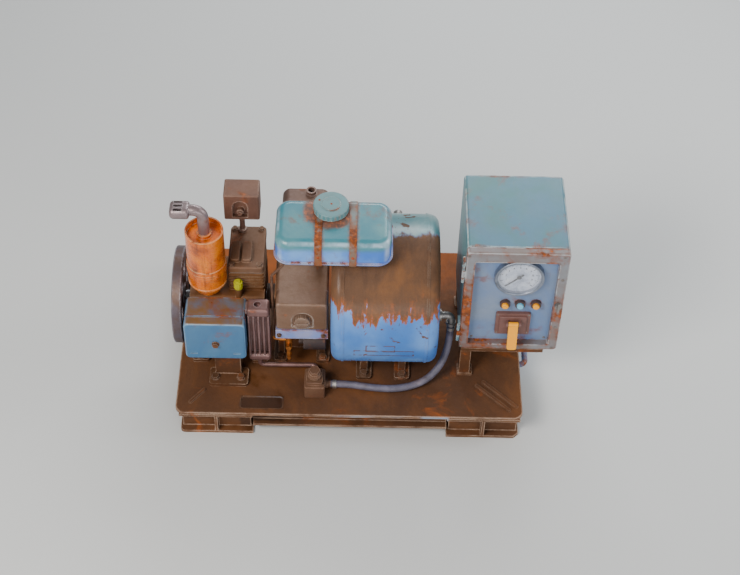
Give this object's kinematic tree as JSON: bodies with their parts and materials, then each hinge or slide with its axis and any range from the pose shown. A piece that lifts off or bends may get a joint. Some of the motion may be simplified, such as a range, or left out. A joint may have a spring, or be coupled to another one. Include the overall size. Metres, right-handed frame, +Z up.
{
  "type": "engine-driven reciprocating air compressor set",
  "caption": "Open reciprocating air compressor with flywheel, coupled to a small engine under a fuel tank, with air receiver, delivery hose and control cabinet, on a steel skid.",
  "frame": {"origin": "centre of the four foundation bolt holes, on the ground plane under the feet", "axes": "+X along the shaft towards the control cabinet, +Y to the rear, away from the gauge side, +Z up"},
  "size_m": [0.989, 0.58, 0.621],
  "materials": {
    "skid_paint": "worn rust-brown paint over rusty steel",
    "blue_paint": "chipped blue paint with rust",
    "teal_paint": "dusty teal paint with rust spots",
    "orange_paint": "glossy orange paint",
    "dark_casting": "oily brown casting",
    "machined_steel": "machined",
    "rusty_steel": "rusty",
    "alloy": "dull cast alloy",
    "steel_tube": "grey galvanised tube",
    "brass": "tarnished",
    "rubber": "grey-black hose rubber",
    "filter_paper": "pleated filter paper",
    "bezel": "satin chrome",
    "dial": "white dial",
    "needle": "black",
    "glass": "clear",
    "switch_plastic": "dark brown moulded plastic",
    "yellow_plastic": "yellow",
    "light_blue_plastic": "light blue",
    "panel_grey": "grey electrical mouldings"
  },
  "bodies": {
    "skid": {"base_plate": "skid_paint", "skid_frame": "skid_paint", "end_handle": "skid_paint", "machine_feet": "skid_paint", "cabinet_stand": "skid_paint", "receiver_saddles": "skid_paint", "tank_mounting": "skid_paint", "front_cylinder": "blue_paint", "front_head": "blue_paint", "receiver": "blue_paint", "shelf_bracket": "blue_paint", "fuel_tank": "teal_paint", "cabinet_body": "teal_paint", "intake_silencer": "orange_paint", "compressor_case": "dark_casting", "top_cylinder": "dark_casting", "top_head": "dark_casting", "pressure_switch": "dark_casting", "engine_case": "dark_casting", "engine_cylinder": "dark_casting", "engine_head": "dark_casting", "starter_motor": "dark_casting", "delivery_block": "dark_casting", "carburettor": "dark_casting", "pistons": "machined_steel", "main_bearings": "machined_steel", "valve_plates": "machined_steel", "muffler": "rusty_steel", "fasteners": "rusty_steel", "aftercooler": "alloy", "air_cleaner_cover": "alloy", "receiver_fittings": "steel_tube", "fuel_tap": "brass", "delivery_hose": "rubber", "filter_element": "filter_paper", "control_gear": "panel_grey"},
    "shaft_line": {"crankshaft": "machined_steel", "engine_crankshaft": "machined_steel", "flywheel": "machined_steel", "shaft_coupling": "rusty_steel"},
    "rod_front": {"front_rod": "machined_steel"},
    "rod_top": {"top_rod": "machined_steel"},
    "rod_engine": {"engine_rod": "machined_steel"},
    "snorkel": {"snorkel": "steel_tube"},
    "oil_cap": {"oil_cap": "switch_plastic"},
    "fuel_cap": {"fuel_cap": "teal_paint"},
    "tap_lever": {"tap_lever": "brass"},
    "cover_knob": {"cover_knob": "alloy"},
    "door": {"door_frame": "teal_paint", "door_panel": "blue_paint", "gauge_case": "bezel", "gauge_dial": "dial", "gauge_glass": "glass", "switch_box": "switch_plastic"},
    "needle": {"gauge_needle": "needle"},
    "button_left": {"button_left": "yellow_plastic"},
    "button_mid": {"button_mid": "light_blue_plastic"},
    "button_right": {"button_right": "yellow_plastic"},
    "switch_lever": {"switch_lever": "yellow_plastic"},
    "latch": {"door_latch": "steel_tube"}
  },
  "joints": [
    {"name": "shaft_spin", "type": "hinge", "parent": "skid", "child": "shaft_line", "pos_m": [-0.44, -0.028, 0.25], "axis": [1, 0, 0], "continuous": true},
    {"name": "rod_front_turn", "type": "hinge", "parent": "shaft_line", "child": "rod_front", "pos_m": [-0.34, -0.053, 0.25], "axis": [1, 0, 0], "continuous": true},
    {"name": "rod_top_turn", "type": "hinge", "parent": "shaft_line", "child": "rod_top", "pos_m": [-0.27, -0.028, 0.275], "axis": [1, 0, 0], "continuous": true},
    {"name": "rod_engine_turn", "type": "hinge", "parent": "shaft_line", "child": "rod_engine", "pos_m": [-0.129, -0.006, 0.25], "axis": [1, 0, 0], "continuous": true},
    {"name": "snorkel_swivel", "type": "hinge", "parent": "skid", "child": "snorkel", "pos_m": [-0.365, -0.068, 0.53], "axis": [0, 0, 1], "range_deg": [-90, 90]},
    {"name": "oil_cap_turn", "type": "hinge", "parent": "skid", "child": "oil_cap", "pos_m": [-0.287, -0.088, 0.36], "axis": [0, 0, 1], "range_deg": [0, 360]},
    {"name": "fuel_cap_turn", "type": "hinge", "parent": "skid", "child": "fuel_cap", "pos_m": [-0.053, -0.026, 0.586], "axis": [0, 0, 1], "range_deg": [0, 90]},
    {"name": "tap_turn", "type": "hinge", "parent": "skid", "child": "tap_lever", "pos_m": [-0.16, -0.152, 0.188], "axis": [0, 1, 0], "range_deg": [0, 90]},
    {"name": "cover_knob_turn", "type": "hinge", "parent": "skid", "child": "cover_knob", "pos_m": [-0.123, -0.155, 0.296], "axis": [0, 1, 0], "range_deg": [0, 360]},
    {"name": "door_swing", "type": "hinge", "parent": "skid", "child": "door", "pos_m": [0.275, -0.142, 0.375], "axis": [0, 0, -1], "range_deg": [0, 100]},
    {"name": "needle_turn", "type": "hinge", "parent": "door", "child": "needle", "pos_m": [0.415, -0.1368, 0.461], "axis": [0, 1, 0], "range_deg": [0, 270], "stiffness_Nm_per_rad": 0.004},
    {"name": "switch_lever_turn", "type": "hinge", "parent": "door", "child": "switch_lever", "pos_m": [0.413, -0.153, 0.3], "axis": [-1, 0, 0], "range_deg": [0, 110]},
    {"name": "latch_turn", "type": "hinge", "parent": "door", "child": "latch", "pos_m": [0.519, -0.155, 0.372], "axis": [0, 1, 0], "range_deg": [0, 90]},
    {"name": "button_left_press", "type": "slide", "parent": "door", "child": "button_left", "axis": [0, 1, 0], "range_m": [0, 0.004], "stiffness_N_per_m": 250},
    {"name": "button_mid_press", "type": "slide", "parent": "door", "child": "button_mid", "axis": [0, 1, 0], "range_m": [0, 0.004], "stiffness_N_per_m": 250},
    {"name": "button_right_press", "type": "slide", "parent": "door", "child": "button_right", "axis": [0, 1, 0], "range_m": [0, 0.004], "stiffness_N_per_m": 250}
  ],
  "couplings": [
    {"joint": "rod_front_turn", "follows": "shaft_spin", "ratio": -1},
    {"joint": "rod_top_turn", "follows": "shaft_spin", "ratio": -1},
    {"joint": "rod_engine_turn", "follows": "shaft_spin", "ratio": -1}
  ]
}
